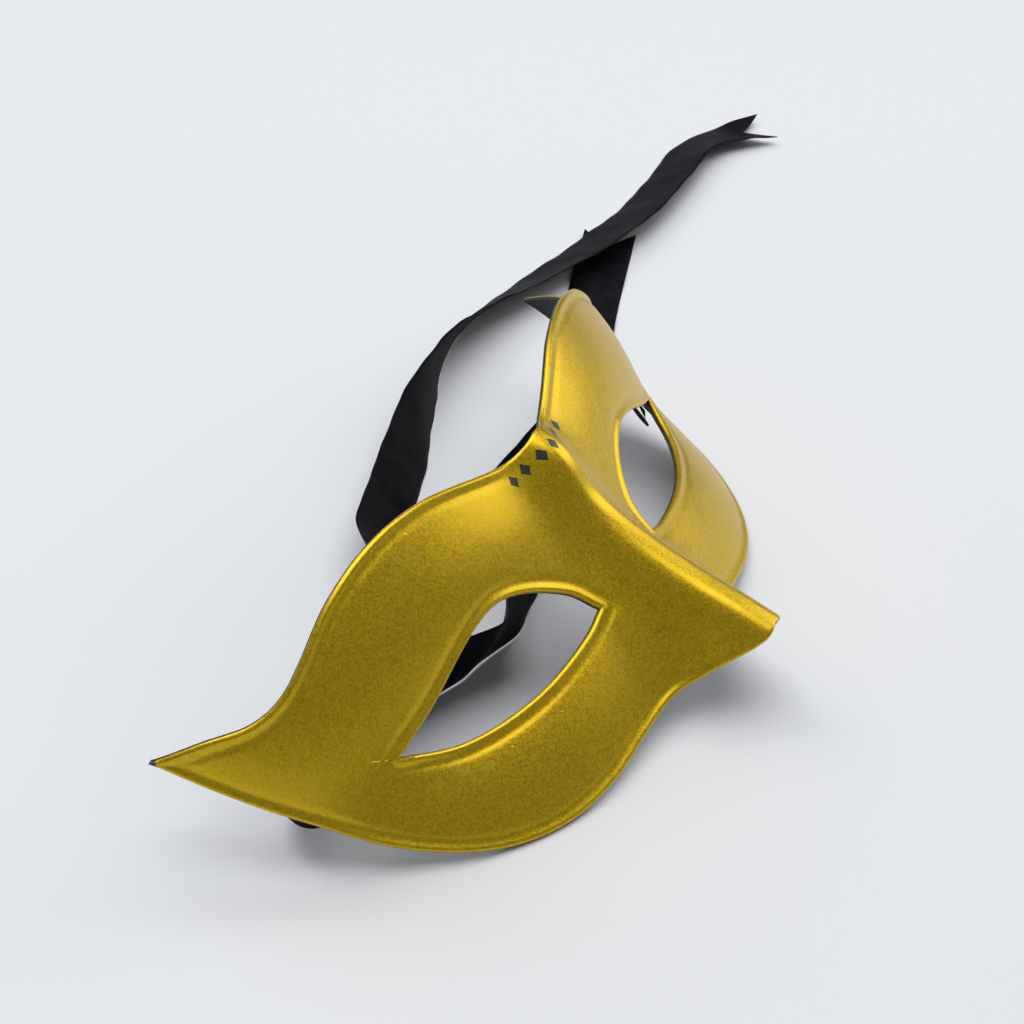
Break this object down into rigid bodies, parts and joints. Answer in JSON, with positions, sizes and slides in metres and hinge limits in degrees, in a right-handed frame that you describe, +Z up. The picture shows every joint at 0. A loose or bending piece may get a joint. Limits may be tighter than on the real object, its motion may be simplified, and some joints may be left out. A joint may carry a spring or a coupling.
{
  "type": "venetian masquerade half mask with ribbon ties",
  "caption": "Moulded half mask with swept-up pointed wings, almond eye holes and a beaked nose, tied on by two long flat satin ribbons.",
  "frame": {"origin": "centre of the mask's footprint, on the table that it lies on", "axes": "+X to the wearer's left, -Y the way the nose points, +Z up from the table"},
  "size_m": [0.3798, 0.136, 0.0623],
  "materials": {
    "gold_shell": "satin metallic gold paint on moulded plastic",
    "black_flock": "short black flock",
    "black_satin": "woven satin ribbon",
    "hot_glue": "set hot-melt glue",
    "black_felt": "thin felt"
  },
  "bodies": {
    "root": {"mask_shell": "gold_shell", "flock_lining": "black_flock", "ribbon_left": "black_satin", "ribbon_right": "black_satin", "glue_pad_left": "hot_glue", "glue_pad_right": "hot_glue", "felt_patch_left": "black_felt", "felt_patch_right": "black_felt"}
  },
  "joints": []
}
